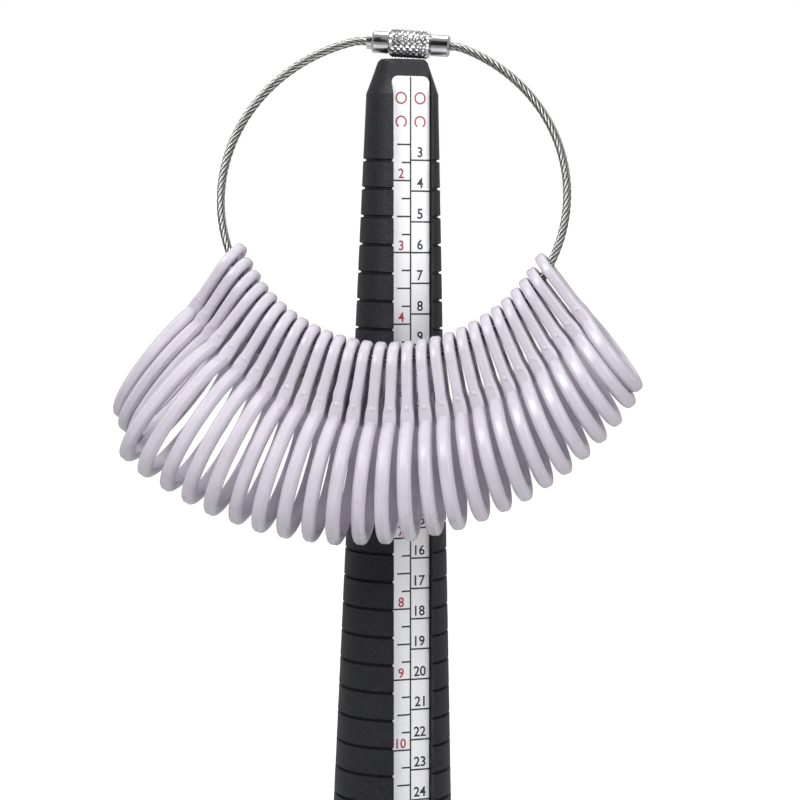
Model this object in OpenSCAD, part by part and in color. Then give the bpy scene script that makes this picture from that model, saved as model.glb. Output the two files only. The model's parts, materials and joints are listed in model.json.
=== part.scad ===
// Ring sizing kit: a tapered ring mandrel, and a cable loop of finger gauges that rests on its tip.
// +Z runs up the mandrel, the origin is the centre of its flat foot, and the front faces -Y.
// Lengths are in millimetres and angles in degrees.

/* [Mandrel] */
// Diameter of the flat tip
tip_d = 8.5; // [7.5:0.1:9.5]
// Length of the steep nose cone behind the tip
nose_len = 5.9; // [5:0.1:7]
// Diameter where the measuring taper starts
taper_small_d = 12.3; // [12:0.1:12.8]
// Diameter where the measuring taper ends
taper_big_d = 24.2; // [24.2:0.1:25]
// Growth in diameter for each millimetre of taper
taper_rate = 0.067; // [0.065:0.001:0.07]
// Smallest ring circumference marked by a groove
groove_first = 41; // [40:1:43]
// Largest ring circumference marked by a groove
groove_last = 75; // [60:1:75]
// Width of a groove at the surface
groove_w = 0.55; // [0.3:0.05:0.8]
// Depth of a groove
groove_depth = 0.5; // [0.2:0.05:0.7]

/* [Scale strips] */
// Width of the channel that a strip lies in
channel_w = 7.3; // [6:0.1:7.6]
// Distance from the mandrel's axis to a strip's face at the small end of the taper
strip_small_r = 3.65; // [3.5:0.05:3.8]
// Distance from the mandrel's axis to a strip's face at the big end of the taper
strip_big_r = 10.2; // [9.6:0.1:10.4]
// Thickness of a strip
strip_t = 0.4; // [0.3:0.05:0.6]
// Gap between the tip and the upper end of a strip
strip_top_gap = 2.9; // [2:0.1:4]
// Turn of the front strip away from straight ahead
strip_turn = 22.5; // [0:0.5:40]

/* [Handle] */
// Height of the handle, foot included
handle_len = 72; // [66:1:80]
// Diameter of the fluted grip
grip_d = 28; // [27:0.5:31]
// Diameter of the foot that the mandrel stands on
foot_d = 37; // [35:0.5:44]
// Thickness of the foot
foot_t = 4; // [3:0.5:6]
// Number of flutes round the grip
flutes = 20; // [12:1:24]

/* [Cable loop] */
// Diameter of the wire rope
cable_d = 1.4; // [1.2:0.1:1.5]
// Radius of the loop, to the middle of the rope
loop_r = 28.9; // [28.4:0.1:29.2]
// Radius of the short bends next to the screw connector
bend_r = 6; // [4:0.5:8]
// Lean of the loop, with its lower side forward
loop_lean = 22.5; // [22:0.5:24]
// Place of the connector round the loop, from its right-hand side
connector_angle = 86.9; // [85:0.1:90]
// Sideways offset of the connector on the tip
connector_x = 0.9; // [0:0.1:1.5]
// Turn of the whole loop about the mandrel's axis
loop_turn = 3.5; // [0:0.5:6]

/* [Screw connector] */
// Length of the connector over both ferrules
connector_len = 14.1; // [13.9:0.1:14.6]
// Diameter of the knurled screw sleeve
sleeve_d = 4.9; // [4.7:0.1:5.2]
// Length of the knurled screw sleeve
sleeve_len = 6.7; // [6.5:0.1:6.8]
// Diameter of the two ferrules
ferrule_d = 3.7; // [3.5:0.1:3.9]
// Diameter of the threaded stud
stud_d = 2.9; // [2.6:0.1:3]

/* [Finger gauges] */
// Half sizes in the set above size 0
half_sizes = 27; // [20:1:27]
// Finger diameter of size 0
size_0_d = 11.63; // [11.5:0.01:11.7]
// Growth in finger diameter for each whole size
size_step = 0.8128; // [0.8:0.0001:0.82]
// Radial width of a gauge's ring
ring_wall = 2.1; // [1.9:0.1:2.1]
// Thickness of a gauge's ring
ring_t = 2.3; // [2:0.05:2.3]
// Thickness of a gauge's tag
tag_t = 1.75; // [1.5:0.05:1.75]
// Width of a gauge's tag
tag_w = 8; // [7:0.5:8]
// Distance from the tag's cable hole to its rounded end
tag_end = 2.8; // [2.5:0.1:2.8]
// Distance from the tag's cable hole to the ring
tag_neck = 9.3; // [8:0.1:9.5]
// Diameter of the tag's cable hole
cable_hole_d = 3.6; // [3.4:0.1:3.6]
// Angle between one gauge and the next in the fan
fan_step = 3.3; // [3.3:0.01:3.4]
// Gauge that hangs straight down, counted from size 0
fan_middle = 12.5; // [12:0.5:14]
// Sideways place of the line that all the gauges radiate from
fan_x = 1.8; // [1:0.1:2.2]
// Depth of that line below the mandrel's tip
fan_drop = 8.3; // [7.5:0.1:8.5]
// Turn of every gauge about its own length, front edge to the left
gauge_turn = 3; // [0:0.5:4]
// Further turn from one gauge to the next on the big sizes' side
twist_step = 0.3; // [0:0.05:0.5]
// Small uneven swing of the resting gauges
sway = 1.6; // [0:0.1:2]
// Swing towards the mandrel of the gauges piled up at the big sizes' end
pile_swing = 22; // [0:1:25]
// Gap between the outermost gauges, which hang side by side
pile_gap = 0.12; // [0.1:0.01:0.2]

/* [Hidden] */
$fn = 96;
slip = 0.03;
running_gap = 0.05;
groove_floor_w = 0.2;
// How far a cutter runs past the surface it opens
past = 1;

function gauge_size(i) = i / 2;
function gauge_name(i) =
    str("gauge_", i < 20 ? "0" : "", floor(i / 2), i % 2 == 1 ? "_5" : "_0");

// Heights along the mandrel
taper_len = (taper_big_d - taper_small_d) / taper_rate;
nose_z = handle_len + taper_len;
tip_z = nose_z + nose_len;
function taper_r(z) = (taper_big_d - (z - handle_len) * taper_rate) / 2;
function ring_z(circumference) = handle_len + (taper_big_d - circumference / PI) / taper_rate;

// Inside the handle
tang_d = 19.2;
tang_z = 42;
plug_len = 10;
core_big_d = 14;
core_small_d = 4.6;
core_top_gap = 30;
foot_edge_r = 1.2;

// The strips' slope against the axis
strip_slope = atan((strip_big_r - strip_small_r) / taper_len);
strip_gap = 0.2;
strip_len = (tip_z - strip_top_gap - handle_len) / cos(strip_slope) - strip_gap;
strip_corner_r = 1.2;

// The loop lies in a plane of its own: x to the right, y up and back, z forward
half_connector = connector_len / 2;
straight_out = 0.55;
bend_x = half_connector + straight_out;
connector_r = bend_r + sqrt(pow(loop_r - bend_r, 2) - pow(bend_x, 2));
bend_angle = atan2(connector_r - bend_r, bend_x);
// The tilted sleeve rests on the edge of the tip's flat end, with a hair of clearance
rest_gap = 0.05;
tip_edge = 0.5;
connector_tilt = atan(cos(connector_angle) * cos(loop_lean) / sin(connector_angle));
connector_z = tip_z + rest_gap + sleeve_d / 2 / cos(connector_tilt)
    + (tip_d / 2 - tip_edge - connector_x) * tan(connector_tilt);
loop_centre = [
    connector_x - connector_r * cos(connector_angle),
    -connector_r * sin(connector_angle) * sin(loop_lean),
    connector_z - connector_r * sin(connector_angle) * cos(loop_lean)];

// The gauges fan out: their planes meet in one line, which runs forward at this height
fan_z = tip_z - fan_drop;
// The last gauges at either end don't fan out any more but hang parallel to these
fan_first = 1;
fan_last = 24;
function in_fan(i) = min(max(i, fan_first), fan_last);
function fan_angle(i) = (in_fan(i) - fan_middle) * fan_step;
function twist(i) = gauge_turn + max(in_fan(i) - fan_middle, 0) * twist_step;
function plane_normal(angle, turn) = [cos(angle) * cos(turn), -sin(turn), -sin(angle) * cos(turn)];
function loop_point(t) = loop_centre + loop_r * [cos(t), sin(t) * sin(loop_lean), sin(t) * cos(loop_lean)];
// Point where the lower part of the loop crosses the plane of all points p with normal * p = offset
function crossing(normal, offset) =
    let (
        across = loop_r * normal[0],
        down = loop_r * (normal[1] * sin(loop_lean) + normal[2] * cos(loop_lean)))
    loop_point(atan2(down, across) - acos((offset - normal * loop_centre) / norm([across, down])));
// Middle of a gauge's cable hole
function cable_point(i) =
    i == in_fan(i)
        ? let (normal = plane_normal(fan_angle(i), 0)) crossing(normal, normal * [fan_x, 0, fan_z])
        : let (normal = plane_normal(fan_angle(i), twist(i)))
          crossing(normal, normal * cable_point(in_fan(i)) - (i - in_fan(i)) * (ring_t + pile_gap));
function rest_swing(i) = sway * sin(137.5 * i) + (i > fan_last ? pile_swing : 0);
function finger_r(i) = (size_0_d + gauge_size(i) * size_step) / 2;

// ---- mandrel ----

// Outline points of one groove, from its lower edge to its upper edge
function groove_points(z) = [
    [taper_r(z - groove_w / 2), z - groove_w / 2],
    [taper_r(z) - groove_depth, z - groove_floor_w / 2],
    [taper_r(z) - groove_depth, z + groove_floor_w / 2],
    [taper_r(z + groove_w / 2), z + groove_w / 2]];

module stick_outline() {
    grooves = [for (c = [groove_last : -1 : groove_first]) each groove_points(ring_z(c))];
    polygon(concat(
        [[0, tang_z], [tang_d / 2, tang_z], [tang_d / 2, handle_len], [taper_big_d / 2, handle_len]],
        grooves,
        [[taper_small_d / 2, nose_z], [tip_d / 2, tip_z - tip_edge],
         [tip_d / 2 - tip_edge, tip_z], [0, tip_z]]));
}

// Places its children on a strip's face: x across, y up the slope, z outward, origin at the big end
module on_strip_face(turn) {
    rotate([0, 0, turn])
        translate([0, -strip_big_r, handle_len])
            rotate([90 - strip_slope, 0, 0])
                children();
}

module strip_channel(turn) {
    run_out = 20;
    open_h = 10;
    on_strip_face(turn)
        translate([-channel_w / 2, 0, -strip_t])
            cube([channel_w, taper_len + run_out, open_h]);
}

module stick_core() {
    top_z = tip_z - core_top_gap;
    rotate_extrude()
        polygon([[0, tang_z - past], [core_big_d / 2, tang_z - past], [core_big_d / 2, handle_len],
                 [core_small_d / 2, top_z], [0, top_z + core_small_d / 2]]);
}

module taper_stick() {
    color("#2b2b2e")
        difference() {
            rotate_extrude() stick_outline();
            strip_channel(strip_turn);
            strip_channel(strip_turn + 180);
            stick_core();
        }
}

module scale_strip(turn) {
    w = channel_w - 2 * strip_gap;
    on_strip_face(turn)
        translate([0, 0, -strip_t])
            linear_extrude(strip_t)
                union() {
                    translate([-w / 2, strip_gap])
                        square([w, strip_len - strip_corner_r]);
                    translate([-w / 2 + strip_corner_r, strip_gap])
                        square([w - 2 * strip_corner_r, strip_len]);
                    for (side = [-1, 1])
                        translate([side * (w / 2 - strip_corner_r), strip_gap + strip_len - strip_corner_r])
                            circle(strip_corner_r);
                }
}

module front_strip() {
    color("#d8d8e0") scale_strip(strip_turn);
}

module back_strip() {
    color("#d8d8e0") scale_strip(strip_turn + 180);
}

// Rounded bead at a given radius and height, for the handle's outline
module bead(r, z, size) {
    translate([r - size, z]) circle(size);
}

module handle_outline() {
    r = grip_d / 2;
    collar_h = 6;
    collar_r = r + 1;
    bead_r = collar_h / 2;
    flare_h = 12;
    flare_edge_h = 2;
    flare_r = foot_d / 2 - 1.5;
    union() {
        translate([0, foot_t]) square([r, handle_len - foot_t - collar_h / 2]);
        translate([0, handle_len - collar_h]) square([collar_r - bead_r, collar_h]);
        bead(collar_r, handle_len - bead_r, bead_r);
        polygon([[0, foot_t], [flare_r, foot_t], [flare_r, foot_t + flare_edge_h],
                 [r, foot_t + flare_h], [0, foot_t + flare_h]]);
    }
}

module handle() {
    flute_r = 1.1;
    flute_x = grip_d / 2 + 0.3;
    flute_low = 21;
    flute_high = handle_len - 11;
    color("#2b2b2e")
        difference() {
            rotate_extrude() handle_outline();
            translate([0, 0, foot_t - past])
                cylinder(d = tang_d + 2 * slip, h = handle_len);
            for (i = [0 : flutes - 1])
                rotate([0, 0, i * 360 / flutes])
                    translate([flute_x, 0, flute_low]) {
                        cylinder(r = flute_r, h = flute_high - flute_low);
                        sphere(flute_r);
                        translate([0, 0, flute_high - flute_low]) sphere(flute_r);
                    }
        }
}

module end_cap() {
    plug_wall = 2;
    color("#232326")
        difference() {
            rotate_extrude()
                union() {
                    square([foot_d / 2, foot_t - foot_edge_r]);
                    square([foot_d / 2 - foot_edge_r, foot_t]);
                    translate([foot_d / 2 - foot_edge_r, foot_t - foot_edge_r]) circle(foot_edge_r);
                    square([tang_d / 2 - slip, foot_t + plug_len]);
                }
            translate([0, 0, foot_t])
                cylinder(d = tang_d - 2 * plug_wall, h = plug_len + past);
        }
}

// ---- cable loop and its screw connector ----

module turned_kit() {
    rotate([0, 0, -loop_turn]) children();
}

// Places its children at the connector: x along it to the right, y away from the loop's centre
module at_connector() {
    turned_kit()
        translate(loop_centre)
            rotate([90 - loop_lean, 0, 0])
                rotate([0, 0, connector_angle - 90])
                    translate([0, connector_r, 0])
                        children();
}

module rope_arc(r, from, to, d) {
    rotate([0, 0, from])
        rotate_extrude(angle = to - from)
            translate([r, 0]) circle(d = d);
}

// Profile [[x, r], ...] along the connector, turned about its axis
module turned_along_x(profile) {
    first = profile[0][0];
    last = profile[len(profile) - 1][0];
    rotate([0, 90, 0])
        rotate_extrude()
            polygon(concat([[0, first]], [for (p = profile) [p[1], p[0]]], [[0, last]]));
}

rope_in = 2.6;
rope_hole = rope_in + 0.3;
// The short bends are a hair thicker than the rest and lap over it at both ends
bend_swell = 0.02;
bend_lap = 2;

module cable() {
    color("#b4b4b4")
        at_connector()
            union() {
                translate([0, -connector_r, 0])
                    rope_arc(loop_r, 180 - bend_angle, 360 + bend_angle, cable_d);
                for (side = [0, 1])
                    mirror([side, 0, 0]) {
                        translate([bend_x, -bend_r, 0])
                            rope_arc(bend_r, bend_angle - bend_lap, 90 + bend_lap, cable_d + bend_swell);
                        translate([half_connector - rope_in, 0, 0])
                            rotate([0, 90, 0])
                                cylinder(d = cable_d, h = straight_out + rope_in);
                    }
            }
}

sleeve_x = -3.05;
sleeve_end = sleeve_x + sleeve_len;
stud_end = 1.6;
// The swivel's flange turns in a chamber at the sleeve's right-hand end
chamber_x = 1.85;
chamber_lip = 0.85;
swivel_neck_r = 1.3;
swivel_flange_r = 1.8;

module stud_ferrule() {
    collar_len = 0.95;
    collar_d = 2.5;
    edge = 0.25;
    r = ferrule_d / 2;
    collar_end = -half_connector + collar_len;
    color("#c9c9cc")
        at_connector()
            difference() {
                turned_along_x([
                    [-half_connector, collar_d / 2], [collar_end, collar_d / 2],
                    [collar_end, r - edge], [collar_end + edge, r],
                    [sleeve_x - running_gap - edge, r], [sleeve_x - running_gap, r - edge],
                    [sleeve_x - running_gap, stud_d / 2], [stud_end - edge, stud_d / 2],
                    [stud_end, stud_d / 2 - edge]]);
                translate([-half_connector - past, 0, 0])
                    rotate([0, 90, 0])
                        cylinder(d = cable_d + 2 * slip, h = rope_hole + past);
            }
}

module swivel_ferrule() {
    edge = 0.3;
    r = ferrule_d / 2 - 0.05;
    flange_end = sleeve_end - chamber_lip - running_gap;
    shoulder = sleeve_end + running_gap;
    color("#c9c9cc")
        at_connector()
            difference() {
                turned_along_x([
                    [chamber_x + running_gap, swivel_flange_r], [flange_end, swivel_flange_r],
                    [flange_end, swivel_neck_r], [shoulder, swivel_neck_r],
                    [shoulder, r - edge], [shoulder + edge, r],
                    [half_connector - edge, r], [half_connector, r - edge]]);
                translate([half_connector - rope_hole, 0, 0])
                    rotate([0, 90, 0])
                        cylinder(d = cable_d + 2 * slip, h = rope_hole + past);
            }
}

module screw_sleeve() {
    edge = 0.3;
    r = sleeve_d / 2;
    chamber_len = sleeve_end - chamber_lip - chamber_x;
    color("#a8a8ac")
        at_connector()
            difference() {
                turned_along_x([
                    [sleeve_x, r - edge], [sleeve_x + edge, r],
                    [sleeve_end - edge, r], [sleeve_end, r - edge]]);
                rotate([0, 90, 0]) {
                    translate([0, 0, sleeve_x - past])
                        cylinder(r = stud_d / 2 + running_gap, h = sleeve_len);
                    translate([0, 0, chamber_x])
                        cylinder(r = swivel_flange_r + running_gap, h = chamber_len);
                    translate([0, 0, chamber_x])
                        cylinder(r = swivel_neck_r + running_gap, h = sleeve_len);
                }
            }
}

// ---- finger gauges ----

// Section of a gauge's ring: gently rounded inside, fully rounded outside
module ring_section(inner_r) {
    in_edge = 0.4;
    out_edge = 0.95;
    half = ring_t / 2;
    outer_r = inner_r + ring_wall;
    union() {
        translate([inner_r + in_edge, -half]) square([ring_wall - in_edge - out_edge, ring_t]);
        translate([inner_r, -half + in_edge]) square([ring_wall / 2, ring_t - 2 * in_edge]);
        translate([inner_r + ring_wall / 2, -half + out_edge])
            square([ring_wall / 2, ring_t - 2 * out_edge]);
        for (side = [-1, 1]) {
            translate([inner_r + in_edge, side * (half - in_edge)]) circle(in_edge);
            translate([outer_r - out_edge, side * (half - out_edge)]) circle(out_edge);
        }
    }
}

// Tag outline: round end past the cable hole, straight sides that run into the ring
module tag_outline() {
    lap = 1.6;
    end_x = tag_w / 2 - tag_end;
    union() {
        translate([end_x, 0]) circle(d = tag_w);
        translate([end_x, -tag_w / 2]) square([tag_neck + lap - end_x, tag_w]);
    }
}

// One gauge with its cable hole at the origin and its ring along +x
module gauge_shape(inner_r) {
    ring_x = tag_neck + ring_wall + inner_r;
    difference() {
        union() {
            translate([0, 0, -tag_t / 2]) linear_extrude(tag_t) tag_outline();
            translate([ring_x, 0, 0]) rotate_extrude() ring_section(inner_r);
        }
        translate([0, 0, -tag_t]) cylinder(d = cable_hole_d, h = 2 * tag_t);
        translate([ring_x, 0, -tag_t]) cylinder(r = inner_r, h = 2 * tag_t);
    }
}

module gauge(i) {
    color("#e6e1ee")
        turned_kit()
            translate(cable_point(i))
                rotate([0, 90 + fan_angle(i), 0])
                    rotate([twist(i), 0, 0])
                        rotate([0, 0, rest_swing(i)])
                            gauge_shape(finger_r(i));
}

taper_stick();
front_strip();
back_strip();
handle();
end_cap();
cable();
stud_ferrule();
swivel_ferrule();
screw_sleeve();
for (i = [0 : half_sizes])
    gauge(i);
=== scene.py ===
"""Looks of the ring sizing kit: a grooved mandrel, and a wire-rope loop of finger gauges on its tip.

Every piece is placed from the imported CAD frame. Lengths are in metres, written as millimetres times MM.
"""
import json
import math

import bmesh
import bpy
from mathutils import Matrix, Vector


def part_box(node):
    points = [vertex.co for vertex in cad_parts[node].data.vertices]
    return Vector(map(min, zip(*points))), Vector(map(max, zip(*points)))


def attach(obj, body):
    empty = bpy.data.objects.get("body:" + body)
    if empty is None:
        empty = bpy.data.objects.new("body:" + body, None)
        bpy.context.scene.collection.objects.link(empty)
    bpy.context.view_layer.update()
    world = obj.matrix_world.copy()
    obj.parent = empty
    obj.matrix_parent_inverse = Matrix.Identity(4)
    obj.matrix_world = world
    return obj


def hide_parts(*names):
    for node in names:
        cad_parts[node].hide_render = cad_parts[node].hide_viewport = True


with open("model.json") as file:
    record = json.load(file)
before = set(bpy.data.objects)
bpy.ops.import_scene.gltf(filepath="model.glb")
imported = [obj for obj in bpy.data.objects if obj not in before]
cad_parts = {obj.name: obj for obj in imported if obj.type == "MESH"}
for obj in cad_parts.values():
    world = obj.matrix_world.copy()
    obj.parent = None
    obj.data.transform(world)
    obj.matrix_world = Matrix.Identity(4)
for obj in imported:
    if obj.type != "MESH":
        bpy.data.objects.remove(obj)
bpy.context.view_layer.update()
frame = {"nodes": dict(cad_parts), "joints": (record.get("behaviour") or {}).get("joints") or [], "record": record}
NODES = frame["nodes"]
JOINTS = {joint["name"]: joint for joint in frame["joints"]}
MOUNTS = {mount["name"]: mount for mount in frame["record"]["mounts"]}
MM = 0.001


# ---------------------------------------------------------------- materials

class Look:
    """A procedural material, with short helpers for its node tree."""

    def __init__(self, name, **settings):
        self.material = bpy.data.materials.new(name)
        self.material.use_nodes = True
        self.tree = self.material.node_tree
        self.shader = self.tree.nodes["Principled BSDF"]
        self.coords = self.tree.nodes.new("ShaderNodeTexCoord")
        self.set(**settings)

    def plug(self, socket, value):
        if isinstance(value, bpy.types.NodeSocket):
            self.tree.links.new(value, socket)
        elif isinstance(value, tuple) and len(value) == 3 and socket.type == "RGBA":
            socket.default_value = (*value, 1.0)
        else:
            socket.default_value = value

    def set(self, **settings):
        """Plugs values or sockets into the shader: Base_Color=..., Roughness=..."""
        for name, value in settings.items():
            self.plug(self.shader.inputs[name.replace("_", " ")], value)

    def place(self, stretch):
        """Places on the object in metres, stretched along its axes."""
        mapping = self.tree.nodes.new("ShaderNodeMapping")
        mapping.inputs["Scale"].default_value = stretch
        self.plug(mapping.inputs["Vector"], self.coords.outputs["Object"])
        return mapping.outputs["Vector"]

    def noise(self, size, detail=2.0, roughness=0.5, stretch=(1, 1, 1)):
        """Noise whose grains are about size across. A stretch below 1 draws them out along that axis."""
        noise = self.tree.nodes.new("ShaderNodeTexNoise")
        noise.inputs["Scale"].default_value = 1 / size
        noise.inputs["Detail"].default_value = detail
        noise.inputs["Roughness"].default_value = roughness
        self.plug(noise.inputs["Vector"], self.place(stretch))
        return noise.outputs["Fac"]

    def ramp(self, value, *stops):
        """Stops are (place, colour or number)."""
        ramp = self.tree.nodes.new("ShaderNodeValToRGB")
        while len(ramp.color_ramp.elements) < len(stops):
            ramp.color_ramp.elements.new(0.5)
        for element, (place, colour) in zip(ramp.color_ramp.elements, stops):
            element.position = place
            element.color = (*colour, 1.0) if isinstance(colour, tuple) else (colour, colour, colour, 1.0)
        self.plug(ramp.inputs["Fac"], value)
        return ramp.outputs["Color"]

    def times(self, one, other):
        """Two colours multiplied. The node has sockets of one name for numbers and for colours."""
        mix = self.tree.nodes.new("ShaderNodeMix")
        mix.data_type = "RGBA"
        mix.blend_type = "MULTIPLY"
        mix.inputs["Factor"].default_value = 1.0
        first, second = (socket for socket in mix.inputs if socket.type == "RGBA")
        self.tree.links.new(one, first)
        self.tree.links.new(other, second)
        return next(socket for socket in mix.outputs if socket.type == "RGBA")

    def bump(self, height, depth, below=None):
        """Bump from a height of 0 to 1, depth metres deep, on top of another bump."""
        bump = self.tree.nodes.new("ShaderNodeBump")
        bump.inputs["Distance"].default_value = depth
        self.plug(bump.inputs["Height"], height)
        if below is not None:
            self.plug(bump.inputs["Normal"], below)
        return bump.outputs["Normal"]


def grained_plastic(name, dark, light, grain, depth, roughness):
    """Black plastic from a blasted mould: fine grains that catch the light, and faint broad waves."""
    look = Look(name, Specular_IOR_Level=0.38)
    fine = look.noise(grain, detail=3.0, roughness=0.6)
    broad = look.noise(9 * MM)
    look.set(
        Base_Color=look.ramp(fine, (0.38, dark), (0.72, light)),
        Roughness=look.ramp(broad, (0.3, roughness - 0.04), (0.7, roughness + 0.05)),
        Normal=look.bump(fine, depth, look.bump(broad, 0.02 * MM)))
    return look.material


def gauge_plastic():
    """Lilac-white moulded plastic, slightly translucent, with soft flow marks under a satin gloss."""
    look = Look("gauge_plastic", Subsurface_Weight=0.15, Subsurface_Scale=1.2 * MM,
                Subsurface_Radius=(1.0, 0.7, 0.75), Coat_Weight=0.25, Coat_Roughness=0.12)
    cloud = look.noise(7 * MM, detail=3.0)
    flow = look.noise(3 * MM, detail=2.0)
    look.set(
        Base_Color=look.ramp(cloud, (0.3, (0.63, 0.585, 0.66)), (0.7, (0.69, 0.65, 0.73))),
        Roughness=look.ramp(flow, (0.3, 0.26), (0.7, 0.38)),
        Normal=look.bump(flow, 0.03 * MM))
    return look.material


def scale_foil():
    """Satin silver-white foil: a fine brushed grain along the strip and a little unevenness."""
    look = Look("scale_foil", Metallic=0.08, Specular_IOR_Level=0.6)
    grain = look.noise(0.25 * MM, stretch=(1, 1, 0.08))
    broad = look.noise(12 * MM)
    look.set(
        Base_Color=look.ramp(broad, (0.3, (0.93, 0.93, 0.95)), (0.7, (0.96, 0.96, 0.98))),
        Roughness=look.ramp(grain, (0.3, 0.28), (0.7, 0.38)),
        Normal=look.bump(grain, 0.003 * MM))
    return look.material


def ink(name, colour):
    """Printed ink, a little uneven in colour."""
    look = Look(name, Roughness=0.45)
    patch = look.noise(0.5 * MM)
    faded = tuple(min(1.0, c * 1.35 + 0.01) for c in colour)
    look.set(Base_Color=look.ramp(patch, (0.35, colour), (0.75, faded)))
    return look.material


def polished_metal(name, tint, roughness, scratch):
    """Bright metal with fine turning marks and cloudy wear, and painted shade that darkens its creases."""
    look = Look(name, Metallic=1.0)
    wear = look.noise(1.5 * MM, detail=3.0)
    mark = look.noise(scratch, stretch=(1, 0.2, 0.2))
    worn = tuple(c * 0.82 for c in tint)
    geometry = look.tree.nodes.new("ShaderNodeNewGeometry")
    # Painted shade: the colour is darkened where the surface curves inward, in creases and knurl valleys.
    painted_crease_shade = look.ramp(geometry.outputs["Pointiness"], (0.44, 0.12), (0.52, 1.0))
    look.set(
        Base_Color=look.times(look.ramp(wear, (0.3, worn), (0.65, tint)), painted_crease_shade),
        Roughness=look.ramp(wear, (0.3, roughness), (0.7, roughness + 0.1)),
        Normal=look.bump(mark, 0.004 * MM))
    return look.material


def rope_steel():
    """Stainless strands, with painted shade on the inner side of each, in the valleys between them. The mesh's v
    runs round each strand.
    """
    look = Look("rope_steel", Metallic=1.0)
    round_strand = look.tree.nodes.new("ShaderNodeSeparateXYZ")
    look.plug(round_strand.inputs[0], look.coords.outputs["UV"])
    steel = (0.4, 0.4, 0.39)
    valley_painted_shade = (0.05, 0.05, 0.05)
    # Painted shade: each strand is dark on its inner side, where the valleys between strands lie in shade.
    shade = look.ramp(round_strand.outputs["Y"], (0.0, steel), (0.12, steel), (0.3, valley_painted_shade),
                      (0.7, valley_painted_shade), (0.88, steel), (1.0, steel))
    wear = look.noise(0.7 * MM, detail=3.0)
    look.set(Base_Color=shade, Roughness=look.ramp(wear, (0.3, 0.2), (0.7, 0.4)),
             Normal=look.bump(wear, 0.01 * MM))
    return look.material


STICK_BLACK = grained_plastic("stick_plastic", dark=(0.005, 0.005, 0.008), light=(0.026, 0.027, 0.038),
                              grain=0.24 * MM, depth=0.07 * MM, roughness=0.4)
HANDLE_BLACK = grained_plastic("handle_plastic", dark=(0.015, 0.015, 0.017), light=(0.042, 0.042, 0.045),
                               grain=0.35 * MM, depth=0.07 * MM, roughness=0.5)
CAP_BLACK = grained_plastic("cap_plastic", dark=(0.013, 0.013, 0.014), light=(0.03, 0.03, 0.032),
                            grain=0.3 * MM, depth=0.05 * MM, roughness=0.42)
FOIL = scale_foil()
RED_INK = ink("red_ink", (0.42, 0.035, 0.075))
BLACK_INK = ink("black_ink", (0.02, 0.02, 0.024))
GAUGE_PLASTIC = gauge_plastic()
FERRULE_METAL = polished_metal("ferrule_metal", (0.84, 0.84, 0.85), roughness=0.06, scratch=0.12 * MM)
SLEEVE_METAL = polished_metal("sleeve_metal", (0.78, 0.78, 0.79), roughness=0.16, scratch=0.12 * MM)
ROPE_STEEL = rope_steel()


def repaint(node, material):
    """A CAD node that is shown as it is, with its new material."""
    mesh = NODES[node].data
    mesh.materials.clear()
    mesh.materials.append(material)


repaint("taper_stick", STICK_BLACK)
repaint("handle", HANDLE_BLACK)
repaint("end_cap", CAP_BLACK)
repaint("front_strip", FOIL)
repaint("back_strip", FOIL)
repaint("stud_ferrule", FERRULE_METAL)
repaint("swivel_ferrule", FERRULE_METAL)


# ---------------------------------------------------------------- mesh helpers

def add_piece(name, bm, material, body, slot, *replaced):
    """Turns a finished bmesh into a piece that rides on a body and stands for the replaced CAD nodes."""
    bmesh.ops.recalc_face_normals(bm, faces=bm.faces)
    mesh = bpy.data.meshes.new(name)
    bm.to_mesh(mesh)
    bm.free()
    mesh.materials.append(material)
    piece = bpy.data.objects.new(name, mesh)
    bpy.context.scene.collection.objects.link(piece)
    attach(piece, body)
    if replaced:
        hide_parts(*replaced)
    return piece


def smooth(mesh, angle):
    """Smooth shading, but edges sharper than the angle stay crisp."""
    mesh.shade_smooth()
    mesh.set_sharp_from_angle(angle=math.radians(angle))


def skin(bm, loops, close=False):
    """Quads between loops of equally many points, and the loops' vertices. close joins last to first."""
    rows = [[bm.verts.new(point) for point in loop] for loop in loops]
    pairs = list(zip(rows, rows[1:])) + ([(rows[-1], rows[0])] if close else [])
    for low, high in pairs:
        for i in range(len(low)):
            j = (i + 1) % len(low)
            bm.faces.new((low[i], low[j], high[j], high[i]))
    return rows


def rounded(corners, radii, steps):
    """The closed outline through the corners, each one rounded to its own radius."""
    points = []
    for i, (corner, r) in enumerate(zip(corners, radii)):
        here = Vector(corner)
        back = (Vector(corners[i - 1]) - here).normalized()
        ahead = (Vector(corners[(i + 1) % len(corners)]) - here).normalized()
        half = back.angle(ahead) / 2
        centre = here + (back + ahead).normalized() * r / math.sin(half)
        start = here + back * r / math.tan(half) - centre
        sweep = math.copysign(math.pi - 2 * half, back.cross(ahead))
        turn = math.atan2(start.y, start.x)
        for k in range(steps + 1):
            a = turn - sweep * k / steps
            points.append(centre + r * Vector((math.cos(a), math.sin(a))))
    return points


def axes_matrix(origin, x, z):
    """Local frame with a given origin, x axis and z axis, as a matrix."""
    y = z.cross(x)
    return Matrix(((x.x, y.x, z.x, origin.x), (x.y, y.y, z.y, origin.y),
                   (x.z, y.z, z.z, origin.z), (0, 0, 0, 1)))


# How far a character's outline is moved out, as the scales are printed in a bolder face than the font's
BOLDER = 0.018
GLYPH_CURVE_STEPS = 3


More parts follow.
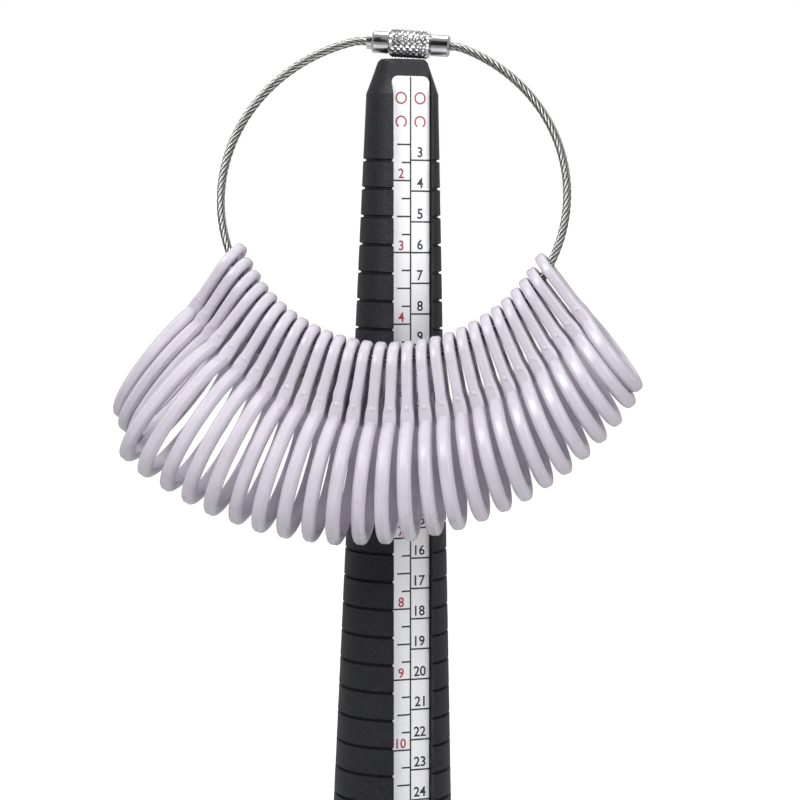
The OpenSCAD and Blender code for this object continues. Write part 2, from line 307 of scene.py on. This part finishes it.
def glyph_faces(text):
    """The text's outline as flat faces, 1 high and centred on the origin: (points, faces)."""
    curve = bpy.data.curves.new("glyph", "FONT")
    curve.body = text
    curve.resolution_u = GLYPH_CURVE_STEPS
    curve.offset = BOLDER
    holder = bpy.data.objects.new("glyph", curve)
    mesh = bpy.data.meshes.new_from_object(holder)
    xs = [v.co.x for v in mesh.vertices]
    top = max(v.co.y for v in mesh.vertices)
    middle = (min(xs) + max(xs)) / 2
    points = [((v.co.x - middle) / top, v.co.y / top - 0.5) for v in mesh.vertices]
    faces = [list(p.vertices) for p in mesh.polygons]
    bpy.data.objects.remove(holder)
    bpy.data.curves.remove(curve)
    bpy.data.meshes.remove(mesh)
    return points, faces


def add_glyphs(bm, text, matrix, height, width_scale, rise=0.0):
    """Adds characters in the matrix's x-y plane, flat or as prisms from rise above it to rise below it."""
    points, faces = glyph_faces(text)
    verts = [bm.verts.new(matrix @ Vector((x * height * width_scale, y * height, rise))) for x, y in points]
    made = [bm.faces.new([verts[i] for i in face]) for face in faces]
    if rise:
        extruded = bmesh.ops.extrude_face_region(bm, geom=made)["geom"]
        sunk = [part for part in extruded if isinstance(part, bmesh.types.BMVert)]
        bmesh.ops.translate(bm, vec=matrix.to_3x3() @ Vector((0, 0, -2 * rise)), verts=sunk)


# ---------------------------------------------------------------- printed scales

# The stick's diameter falls by this much for each unit of height
TAPER_RATE = 0.067
HANDLE_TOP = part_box("handle")[1].z
STICK_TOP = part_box("taper_stick")[1].z
TAPER_BIG_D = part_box("taper_stick")[1].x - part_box("taper_stick")[0].x

INK_LIFT = 0.015 * MM
LINE_W = 0.28 * MM
# From each end of the middle line to the strip's ends, together
LINE_END_GAP = 0.2 * MM
# Numbers stand on the line of their size, with a gap under them
LEFT_NUMBER_H = 1.65 * MM
LEFT_NUMBER_GAP = 0.4 * MM
RIGHT_NUMBER_H = 1.7 * MM
RIGHT_NUMBER_GAP = 0.55 * MM
NUMBER_WIDTH = 0.95
HALF_TICK = 2.45 * MM
QUARTER_TICK = 1.62 * MM
BACK_TICK = 2.0 * MM
# Signs: the first row's distance from the strip's top, the next row's from it, and their outer radius
SIGN_FROM_TOP = 3.7 * MM
SIGN_ROW = 4 * MM
SIGN_R = 1.05 * MM
FULL_RING = 360
OPEN_RING = 300


def size_height(diameter):
    """Height on the mandrel at which a ring of this inside diameter stops."""
    return HANDLE_TOP + (TAPER_BIG_D - diameter) / TAPER_RATE


def us_height(size):
    """American size: 11.63 mm across at 0."""
    return size_height((11.63 + 0.8128 * size) * MM)


def hk_height(size):
    """Hong Kong size: 14.07 mm across at 6."""
    return size_height((14.07 + 0.3484 * (size - 6)) * MM)


def eu_height(size):
    """European size: the circumference in millimetres."""
    return size_height(size / math.pi * MM)


def jp_height(size):
    """Japanese size: a third of a millimetre of diameter for each size, 13 mm at 1."""
    return size_height((12.667 + size / 3) * MM)


class Strip:
    """The face of a scale strip: x across, y up the slope, z outward, origin on the lower edge's middle."""

    def __init__(self, node):
        mesh = NODES[node].data
        box_low, box_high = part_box(node)
        middle = (box_low + box_high) / 2
        outward = Vector((middle.x, middle.y, 0)).normalized()
        facing_out = [p for p in mesh.polygons if p.normal.dot(outward) > 0.9]
        self.z = max(facing_out, key=lambda p: p.area).normal.copy()
        self.x = Vector((0, 0, 1)).cross(self.z).normalized()
        self.y = self.z.cross(self.x)
        top = max(v.co.dot(self.z) for v in mesh.vertices)
        across = [v.co.dot(self.x) for v in mesh.vertices]
        along = [v.co.dot(self.y) for v in mesh.vertices]
        self.width = max(across) - min(across)
        self.length = max(along) - min(along)
        origin = self.x * (max(across) + min(across)) / 2 + self.y * min(along) + self.z * top
        self.matrix = axes_matrix(origin, self.x, self.z)

    def up(self, height):
        """Distance up the face of a given height above the floor."""
        return (height - self.matrix.translation.z) / self.y.z

    def at(self, x, y):
        """Where ink lies, x from the strip's middle and y up its face, as a matrix."""
        return self.matrix @ Matrix.Translation((x, y, INK_LIFT))

    def bar(self, bm, x0, x1, y, thick=LINE_W):
        """A printed bar from x0 to x1, thick across and with its middle at y."""
        place = self.at(0, y)
        corners = [(x0, -thick / 2), (x1, -thick / 2), (x1, thick / 2), (x0, thick / 2)]
        bm.faces.new([bm.verts.new(place @ Vector((cx, cy, 0))) for cx, cy in corners])


def ring_sign(bm, place, sweep, steps=40):
    """A printed circle, or one left open at the bottom, as the generic sign of a ring."""
    closed = sweep == FULL_RING
    count = steps if closed else steps + 1
    inner, outer = [], []
    for k in range(count):
        a = math.radians(90 + sweep * (k / steps - 0.5))
        way = Vector((math.cos(a), math.sin(a), 0))
        inner.append(bm.verts.new(place @ (way * (SIGN_R - LINE_W))))
        outer.append(bm.verts.new(place @ (way * SIGN_R)))
    for k in range(count if closed else steps):
        j = (k + 1) % count
        bm.faces.new((inner[k], outer[k], outer[j], inner[j]))


def printed_scale(name, strip, left, right, left_ticks):
    """Prints a strip. left and right are (height of a size, sizes); left_ticks are (height, length)."""
    black = bmesh.new()
    red = bmesh.new()
    half = strip.width / 2

    def column(side, scale, ink, number_h, gap):
        height_of, sizes = scale
        for size in sizes:
            y = strip.up(height_of(size))
            strip.bar(black, *sorted((0, side * half)), y)
            place = strip.at(side * half / 2, y + gap + number_h / 2)
            add_glyphs(ink, str(size), place, number_h, NUMBER_WIDTH)

    strip.bar(black, -LINE_W / 2, LINE_W / 2, strip.length / 2, strip.length - LINE_END_GAP)
    column(-1, left, red, LEFT_NUMBER_H, LEFT_NUMBER_GAP)
    column(1, right, black, RIGHT_NUMBER_H, RIGHT_NUMBER_GAP)
    for height, length in left_ticks:
        strip.bar(black, -length, 0, strip.up(height))
    for row, sweep in enumerate((FULL_RING, OPEN_RING)):
        for side in (-1, 1):
            ring_sign(red, strip.at(side * half / 2, strip.length - SIGN_FROM_TOP - row * SIGN_ROW), sweep)
    add_piece(name + "_scale_black", black, BLACK_INK, "mandrel", "scale_label")
    add_piece(name + "_scale_red", red, RED_INK, "mandrel", "scale_label")


def us_ticks():
    """Ticks at the quarter sizes from 1 1/2 to 14 1/2, longer at the halves, and none at whole sizes."""
    quarters = [quarter for quarter in range(6, 59) if quarter % 4]
    return [(us_height(quarter / 4), QUARTER_TICK if quarter % 2 else HALF_TICK) for quarter in quarters]


printed_scale(
    "front", Strip("front_strip"),
    left=(us_height, range(2, 15)),
    right=(hk_height, range(3, 34)),
    left_ticks=us_ticks())
printed_scale(
    "back", Strip("back_strip"),
    left=(eu_height, range(42, 76, 2)),
    right=(jp_height, range(1, 34)),
    left_ticks=[(eu_height(size), BACK_TICK) for size in range(43, 76, 2)])


# ---------------------------------------------------------------- wire rope

ROPE_D = 1.4 * MM
STRANDS = 6
STRAND_R = 0.25 * MM
STRAND_SIDES = 12
CORE_LAP = 0.1 * MM
# Length in which a strand goes once round the rope
ROPE_LAY = 7.4 * MM
ROPE_STEP = 0.3 * MM
# The rope leaves a ferrule straight, then bends into the loop
STRAIGHT_OUT = 0.55 * MM
BEND_R = 6 * MM
BEND_STEPS = 24
LOOP_STEPS = 420
# Depth of the rope's end in a ferrule
ROPE_IN = 2.6 * MM


def circle_through(a, b, c):
    """Centre and normal of the circle through three points."""
    u, v = b - a, c - a
    normal = u.cross(v)
    to_centre = v.length_squared * normal.cross(u) + u.length_squared * v.cross(normal)
    return a + to_centre / (2 * normal.length_squared), normal.normalized()


def turn_points(centre_u, centre_v, radius, start, end, steps):
    """Points on a flat arc between two angles in radians, as (u, v)."""
    angles = [start + (end - start) * k / steps for k in range(steps + 1)]
    return [(centre_u + radius * math.cos(a), centre_v + radius * math.sin(a)) for a in angles]


def rope_path():
    """Middle line of the rope, from in one ferrule round the loop into the other, and the loop's normal."""
    turn = JOINTS["sleeve_turn"]
    middle = Vector(turn["pos_m"])
    along = Vector(turn["axis"]).normalized()
    pivots = [Vector(JOINTS["swing_" + size]["pos_m"]) for size in ("00_0", "07_0", "13_5")]
    centre, normal = circle_through(*pivots)
    radius = (pivots[0] - centre).length
    away = (middle - centre).normalized()
    rise = (middle - centre).length
    reach = max((v.co - middle).dot(along) for v in NODES["swivel_ferrule"].data.vertices)
    bend_u = reach + STRAIGHT_OUT
    bend_v = rise - BEND_R
    spread = math.atan2(bend_v, bend_u)
    half = [(reach - ROPE_IN, rise)] + turn_points(bend_u, bend_v, BEND_R, math.pi / 2, spread, BEND_STEPS)
    main = turn_points(0, 0, radius, spread, -math.pi - spread, LOOP_STEPS)
    flat = half + main[1:-1] + [(-u, v) for u, v in reversed(half)]
    return [centre + u * along + v * away for u, v in flat], normal


def even_steps(points, step):
    """The same line, with points a fixed distance apart along it."""
    out = [points[0].copy()]
    left = step
    for a, b in zip(points, points[1:]):
        length = (b - a).length
        done = 0.0
        while length - done >= left:
            done += left
            out.append(a.lerp(b, done / length))
            left = step
        left -= length - done
    return out


def twisted_rope(path, normal):
    """Strands wound round the middle line over a thin core, with v round each strand from its outer side."""
    bm = bmesh.new()
    uv = bm.loops.layers.uv.new("UVMap")
    path = even_steps(path, ROPE_STEP)
    ways = [(path[min(i + 1, len(path) - 1)] - path[max(i - 1, 0)]).normalized() for i in range(len(path))]
    core_r = ROPE_D / 2 - 2 * STRAND_R + CORE_LAP
    for strand in range(STRANDS + 1):
        core = strand == STRANDS
        reach = 0 if core else ROPE_D / 2 - STRAND_R
        radius = core_r if core else STRAND_R
        rows = []
        for i, (point, ahead) in enumerate(zip(path, ways)):
            turn = 2 * math.pi * (strand / STRANDS + i * ROPE_STEP / ROPE_LAY)
            side = normal.cross(ahead)
            out = math.cos(turn) * side + math.sin(turn) * normal
            up = ahead.cross(out)
            middle = point + reach * out
            rows.append([bm.verts.new(middle + radius * (math.cos(a) * out + math.sin(a) * up))
                         for a in (2 * math.pi * k / STRAND_SIDES for k in range(STRAND_SIDES))])
        for low, high in zip(rows, rows[1:]):
            for k in range(STRAND_SIDES):
                j = (k + 1) % STRAND_SIDES
                face = bm.faces.new((low[k], low[j], high[j], high[k]))
                for loop, v in zip(face.loops, (k, k + 1, k + 1, k)):
                    loop[uv].uv = (0.5, 0.5 if core else v / STRAND_SIDES)
        bm.faces.new(rows[0])
        bm.faces.new(rows[-1])
    return bm


rope = add_piece("wire_rope", twisted_rope(*rope_path()), ROPE_STEEL, "loop", "wire_rope", "cable")
smooth(rope.data, angle=50)


# ---------------------------------------------------------------- knurled screw sleeve

# Grooves of one family round the sleeve, and points across each one
KNURL_STARTS = 15
KNURL_POINTS = 8
KNURL_DEPTH = 0.3 * MM
SLEEVE_EDGE = 0.35 * MM
# Places nearer than this count as the same
SAME = 0.01 * MM


def knurled_sleeve():
    """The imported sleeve's bore and chamber, under two crossing families of knurl grooves.

    The sleeve is measured about its own axis, as places (along the axis, from the axis).
    """
    turn = JOINTS["sleeve_turn"]
    middle = Vector(turn["pos_m"])
    along = Vector(turn["axis"]).normalized()
    from_middle = [v.co - middle for v in NODES["screw_sleeve"].data.vertices]
    places = [(way.dot(along), (way - way.dot(along) * along).length) for way in from_middle]
    start = min(z for z, r in places)
    end = max(z for z, r in places)
    radius = max(r for z, r in places)
    inside = [(z, r) for z, r in places if r < radius - 1.2 * SLEEVE_EDGE]
    bore_r = max(r for z, r in inside if z < start + SAME)
    neck_r = max(r for z, r in inside if z > end - SAME)
    chamber_r = max(r for z, r in inside)
    chamber = [z for z, r in inside if r > chamber_r - SAME]

    pitch = 2 * math.pi * radius / KNURL_STARTS
    knurled = end - start - 2 * SLEEVE_EDGE
    lines = int(knurled / (pitch / KNURL_POINTS))
    profile = [(min(chamber), chamber_r, False), (min(chamber), bore_r, False), (start, bore_r, False),
               (start, radius - SLEEVE_EDGE, False)]
    profile += [(start + SLEEVE_EDGE + knurled * k / lines, radius, True) for k in range(lines + 1)]
    profile += [(end, radius - SLEEVE_EDGE, False), (end, neck_r, False), (max(chamber), neck_r, False),
                (max(chamber), chamber_r, False)]

    out = along.cross(Vector((0, 1, 0))).normalized()
    place = axes_matrix(middle, out, along)
    around = KNURL_STARTS * KNURL_POINTS
    rows = []
    for z, r, cut in profile:
        row = []
        for k in range(around):
            left = (k / KNURL_POINTS + z / pitch) % 1
            right = (k / KNURL_POINTS - z / pitch) % 1
            groove = 2 * max(abs(left - 0.5), abs(right - 0.5)) if cut else 0
            here = r - KNURL_DEPTH * groove
            a = 2 * math.pi * k / around
            row.append(place @ Vector((here * math.cos(a), here * math.sin(a), z)))
        rows.append(row)
    bm = bmesh.new()
    skin(bm, rows, close=True)
    return bm


sleeve = add_piece("knurled_sleeve", knurled_sleeve(), SLEEVE_METAL, "screw_sleeve", "sleeve_metal",
                   "screw_sleeve")
smooth(sleeve.data, angle=24)


# ---------------------------------------------------------------- finger gauges

RING_WALL = 2.1 * MM
RING_T = 2.3 * MM
RING_STEPS = 120
BORE_ROUND = 0.4 * MM
# The outer edge: where the slope leaves the flat side, where it ends, and the outer band's half width
SLOPE_START = 0.85 * MM
SLOPE_END = 0.28 * MM
RIM_HALF = 0.5 * MM
SLOPE_ROUND = 0.5 * MM
BAND_ROUND = 0.25 * MM
RIM_ROUND = 0.15 * MM
TAG_W = 8 * MM
TAG_T = 1.75 * MM
# From the hole's middle to the tag's round end, and how far the tag reaches into the ring
TAG_END = 2.8 * MM
TAG_LAP = 1.5 * MM
# The tag's soft edge, as distances in from its outline and down from its face
TAG_EDGE = [(0.6 * MM, 0), (0.3 * MM, 0.07 * MM), (0.1 * MM, 0.25 * MM), (0, 0.5 * MM)]
TAG_END_STEPS = 28
# The tag grows to this thickness over this length before the ring
SWELL_LEN = 2.4 * MM
SWELL_STEPS = 6
SWOLLEN_T = 2.24 * MM
HOLE_R = 1.8 * MM
HOLE_EDGE = 0.15 * MM
HOLE_STEPS = 32
# The raised number: its height, its width as a share of the font's, its relief, and its place on the tag
NUMBER_H = 2.4 * MM
RAISED_WIDTH = 0.85
NUMBER_RISE = 0.16 * MM
NUMBER_X = 5.3 * MM
# The gate's bead: radius, height above the tag's edge with its root, and place
GATE_R = 0.5 * MM
GATE_RISE = 0.25 * MM
GATE_ROOT = 0.1 * MM
GATE_TO_RING = 1.3 * MM


def ring_mesh(inner_r, ring_x):
    """The ring: flat sides, rounds at the bore, and an outer edge of soft flat bands."""
    half = RING_T / 2
    outer_r = inner_r + RING_WALL
    # distance from the ring's axis, half thickness there, and the corner's rounding
    upper = [(inner_r, half, BORE_ROUND), (outer_r - SLOPE_START, half, SLOPE_ROUND),
             (outer_r - SLOPE_END, half - SLOPE_END, BAND_ROUND), (outer_r, RIM_HALF, RIM_ROUND)]
    corners = [(x, -y, r) for x, y, r in upper] + upper[::-1]
    section = rounded([(x, y) for x, y, _ in corners], [r for _, _, r in corners], steps=3)
    bm = bmesh.new()
    skin(bm, [[(ring_x + p.x * math.cos(a), p.x * math.sin(a), p.y) for p in section]
              for a in (2 * math.pi * k / RING_STEPS for k in range(RING_STEPS))], close=True)
    return bm


def tag_mesh(neck):
    """The tag: a plate with a round end, soft edges and the hole for the rope, swelling towards the ring."""
    end_x = TAG_W / 2 - TAG_END
    half = TAG_T / 2
    side_xs = [neck + SWELL_LEN * (k / SWELL_STEPS - 1) for k in range(SWELL_STEPS + 1)] + [neck + TAG_LAP]

    def swell(x):
        t = min(1, max(0, (x - neck) / SWELL_LEN + 1))
        return 1 + (SWOLLEN_T / TAG_T - 1) * t * t * (3 - 2 * t)

    def outline(inset, z):
        r = TAG_W / 2 - inset
        turn = [(end_x + r * math.cos(a), r * math.sin(a), z)
                for a in (math.pi * (0.5 + k / TAG_END_STEPS) for k in range(TAG_END_STEPS + 1))]
        side = [(x, -r, z * swell(x)) for x in side_xs]
        return turn + side + [(x, -y, z_side) for x, y, z_side in side[::-1]]

    def hole_circle(r, z):
        return [(r * math.cos(a), r * math.sin(a), z)
                for a in (2 * math.pi * k / HOLE_STEPS for k in range(HOLE_STEPS))]

    bm = bmesh.new()
    upper = [(inset, half - drop) for inset, drop in TAG_EDGE]
    rows = skin(bm, [outline(inset, z) for inset, z in upper + [(inset, -z) for inset, z in upper[::-1]]])
    hole = [(HOLE_R + HOLE_EDGE, half), (HOLE_R, half - HOLE_EDGE), (HOLE_R, HOLE_EDGE - half),
            (HOLE_R + HOLE_EDGE, -half)]
    hole_rows = skin(bm, [hole_circle(r, z) for r, z in hole])
    for face in (0, -1):
        edges = []
        for row in (rows[face], hole_rows[face]):
            edges += [bm.edges.get((row[i], row[(i + 1) % len(row)])) for i in range(len(row))]
        bmesh.ops.triangle_fill(bm, edges=edges, use_beauty=True)
    return bm


def solid_object(bm):
    """An object of the finished bmesh, for a modifier to work on."""
    bmesh.ops.recalc_face_normals(bm, faces=bm.faces)
    mesh = bpy.data.meshes.new("solid")
    bm.to_mesh(mesh)
    bm.free()
    solid = bpy.data.objects.new("solid", mesh)
    bpy.context.scene.collection.objects.link(solid)
    return solid


def union(first, second):
    """The two solids joined into one mesh."""
    one, two = solid_object(first), solid_object(second)
    join = one.modifiers.new("join", "BOOLEAN")
    join.operation = "UNION"
    join.solver = "EXACT"
    join.object = two
    bpy.context.view_layer.update()
    evaluated = one.evaluated_get(bpy.context.evaluated_depsgraph_get())
    bm = bmesh.new()
    bm.from_mesh(evaluated.to_mesh())
    evaluated.to_mesh_clear()
    for part in (one, two):
        bpy.data.meshes.remove(part.data)
    return bm


def gate_mark(centre, levels=4, sides=12):
    """The little bead that the mould's gate leaves on an edge: a flattened dome that looks along -y."""
    rows = []
    for k in range(levels):
        a = math.pi / 2 * k / levels
        r = GATE_R * math.cos(a)
        y = GATE_ROOT - GATE_RISE * math.sin(a)
        rows.append([centre + Vector((r * math.cos(b), y, r * math.sin(b)))
                     for b in (2 * math.pi * n / sides for n in range(sides))])
    bm = bmesh.new()
    made = skin(bm, rows)
    bm.faces.new(made[-1])
    bm.faces.new(made[0])
    return bm


def finger_gauge(name):
    """One gauge in its own frame: cable hole at the origin, ring along +x, hinge axis along z."""
    size = name.removeprefix("gauge_")
    joint = JOINTS["swing_" + size]
    mount = MOUNTS["finger_hole_" + size]
    pivot = Vector(joint["pos_m"])
    to_ring = Vector(mount["pos_m"]) - pivot
    inner_r = mount["dims"]["r_mm"] * MM
    ring_x = to_ring.length
    neck = ring_x - inner_r - RING_WALL
    bm = union(ring_mesh(inner_r, ring_x), tag_mesh(neck))
    bm = union(bm, gate_mark(Vector((neck - GATE_TO_RING, -TAG_W / 2, 0))))
    number = f"{float(size.replace('_', '.')):g}"
    for side in (1, -1):
        face = Matrix(((0, -1, 0, NUMBER_X), (side, 0, 0, 0), (0, 0, side, side * TAG_T / 2), (0, 0, 0, 1)))
        add_glyphs(bm, number, face, NUMBER_H, RAISED_WIDTH, NUMBER_RISE)
    bm.transform(axes_matrix(pivot, to_ring.normalized(), Vector(joint["axis"]).normalized()))
    piece = add_piece("finger_" + name, bm, GAUGE_PLASTIC, name, "gauge_plastic", name)
    smooth(piece.data, angle=32)


for node in sorted(NODES):
    if node.startswith("gauge_"):
        finger_gauge(node)


# ---------------------------------------------------------------- floor, light and camera

# What the camera sees of floor and tent, and what the tent gives the object from its dark and bright side
SEEN_FLOOR = 0.85
SEEN_TENT = 1.0
TENT_DARK = 0.02
TENT_BRIGHT = 0.4
# The tent is dark behind the camera: y of the direction where the dark ends, and where the bright begins
TENT_DARK_Y = -0.8
TENT_BRIGHT_Y = -0.45
FLOOR_REACH = 30.0
# The camera: place across, in front of the mandrel and below its tip, and tilts in degrees
CAMERA_LENS = 115.6
CAMERA_X = 0.34 * MM
CAMERA_DISTANCE = 440 * MM
CAMERA_BELOW_TIP = 19.6 * MM
CAMERA_LOOK_DOWN = 5.0
CAMERA_ROLL = 0.81
# The lights aim at the middle of the hanging gauges
AIM_BELOW_TIP = 60 * MM


def seen_directly(tree, seen, otherwise):
    """A value that differs between what the camera sees and what lights the object."""
    mix = tree.nodes.new("ShaderNodeMix")
    tree.links.new(tree.nodes.new("ShaderNodeLightPath").outputs["Is Camera Ray"], mix.inputs["Factor"])
    for socket, value in ((mix.inputs["A"], otherwise), (mix.inputs["B"], seen)):
        if isinstance(value, bpy.types.NodeSocket):
            tree.links.new(value, socket)
        else:
            socket.default_value = value
    return mix.outputs["Result"]


def pale_floor():
    """A plain pale floor, out to the horizon."""
    look = Look("floor", Roughness=0.8, Specular_IOR_Level=0.1, Emission_Color=(1.0, 1.0, 1.0))
    cloud = look.noise(0.4)
    look.set(Base_Color=look.ramp(cloud, (0.3, 0.8), (0.7, 0.82)),
             Emission_Strength=seen_directly(look.tree, SEEN_FLOOR, 0.0))
    bm = bmesh.new()
    for x, y in ((-1, -1), (1, -1), (1, 1), (-1, 1)):
        bm.verts.new((x * FLOOR_REACH, y * FLOOR_REACH, 0))
    bm.faces.new(bm.verts)
    mesh = bpy.data.meshes.new("floor")
    bm.to_mesh(mesh)
    bm.free()
    mesh.materials.append(look.material)
    floor = bpy.data.objects.new("floor", mesh)
    bpy.context.scene.collection.objects.link(floor)


def white_tent():
    """A white light tent, whose side behind the camera lights the object less."""
    world = bpy.data.worlds.new("tent")
    world.use_nodes = True
    tree = world.node_tree
    coords = tree.nodes.new("ShaderNodeTexCoord")
    split = tree.nodes.new("ShaderNodeSeparateXYZ")
    ramp = tree.nodes.new("ShaderNodeMapRange")
    ramp.interpolation_type = "SMOOTHSTEP"
    ramp.inputs["From Min"].default_value = TENT_DARK_Y
    ramp.inputs["From Max"].default_value = TENT_BRIGHT_Y
    ramp.inputs["To Min"].default_value = TENT_DARK
    ramp.inputs["To Max"].default_value = TENT_BRIGHT
    tree.links.new(coords.outputs["Generated"], split.inputs[0])
    tree.links.new(split.outputs["Y"], ramp.inputs["Value"])
    background = tree.nodes["Background"]
    tree.links.new(seen_directly(tree, SEEN_TENT, ramp.outputs["Result"]), background.inputs["Strength"])
    background.inputs["Color"].default_value = (1.0, 1.0, 1.0, 1.0)
    bpy.context.scene.world = world


def softbox(name, away, size, power):
    """A square light, some way away from what it aims at."""
    aim = Vector((0, 0, STICK_TOP - AIM_BELOW_TIP))
    light = bpy.data.lights.new(name, "AREA")
    light.size = size
    light.energy = power
    holder = bpy.data.objects.new(name, light)
    holder.location = aim + Vector(away)
    holder.rotation_euler = (-Vector(away)).to_track_quat("-Z", "Y").to_euler()
    bpy.context.scene.collection.objects.link(holder)


def picture_camera():
    """A long lens a little below the tip's height, looking slightly down."""
    camera = bpy.data.cameras.new("camera")
    camera.sensor_width = 36
    camera.lens = CAMERA_LENS
    camera.clip_start = 0.01
    camera.clip_end = 100
    holder = bpy.data.objects.new("camera", camera)
    place = Vector((CAMERA_X, -CAMERA_DISTANCE, STICK_TOP - CAMERA_BELOW_TIP))
    holder.matrix_world = (Matrix.Translation(place)
                           @ Matrix.Rotation(math.radians(90 - CAMERA_LOOK_DOWN), 4, "X")
                           @ Matrix.Rotation(math.radians(CAMERA_ROLL), 4, "Z"))
    bpy.context.scene.collection.objects.link(holder)
    bpy.context.scene.camera = holder


pale_floor()
white_tent()
softbox("key", (-0.2, -0.26, 0.24), size=0.22, power=1.15)
softbox("fill", (0.3, -0.34, 0.15), size=0.3, power=0.95)
softbox("top", (0.05, 0.1, 0.4), size=0.3, power=0.5)
picture_camera()
bpy.context.scene.view_settings.view_transform = "Standard"
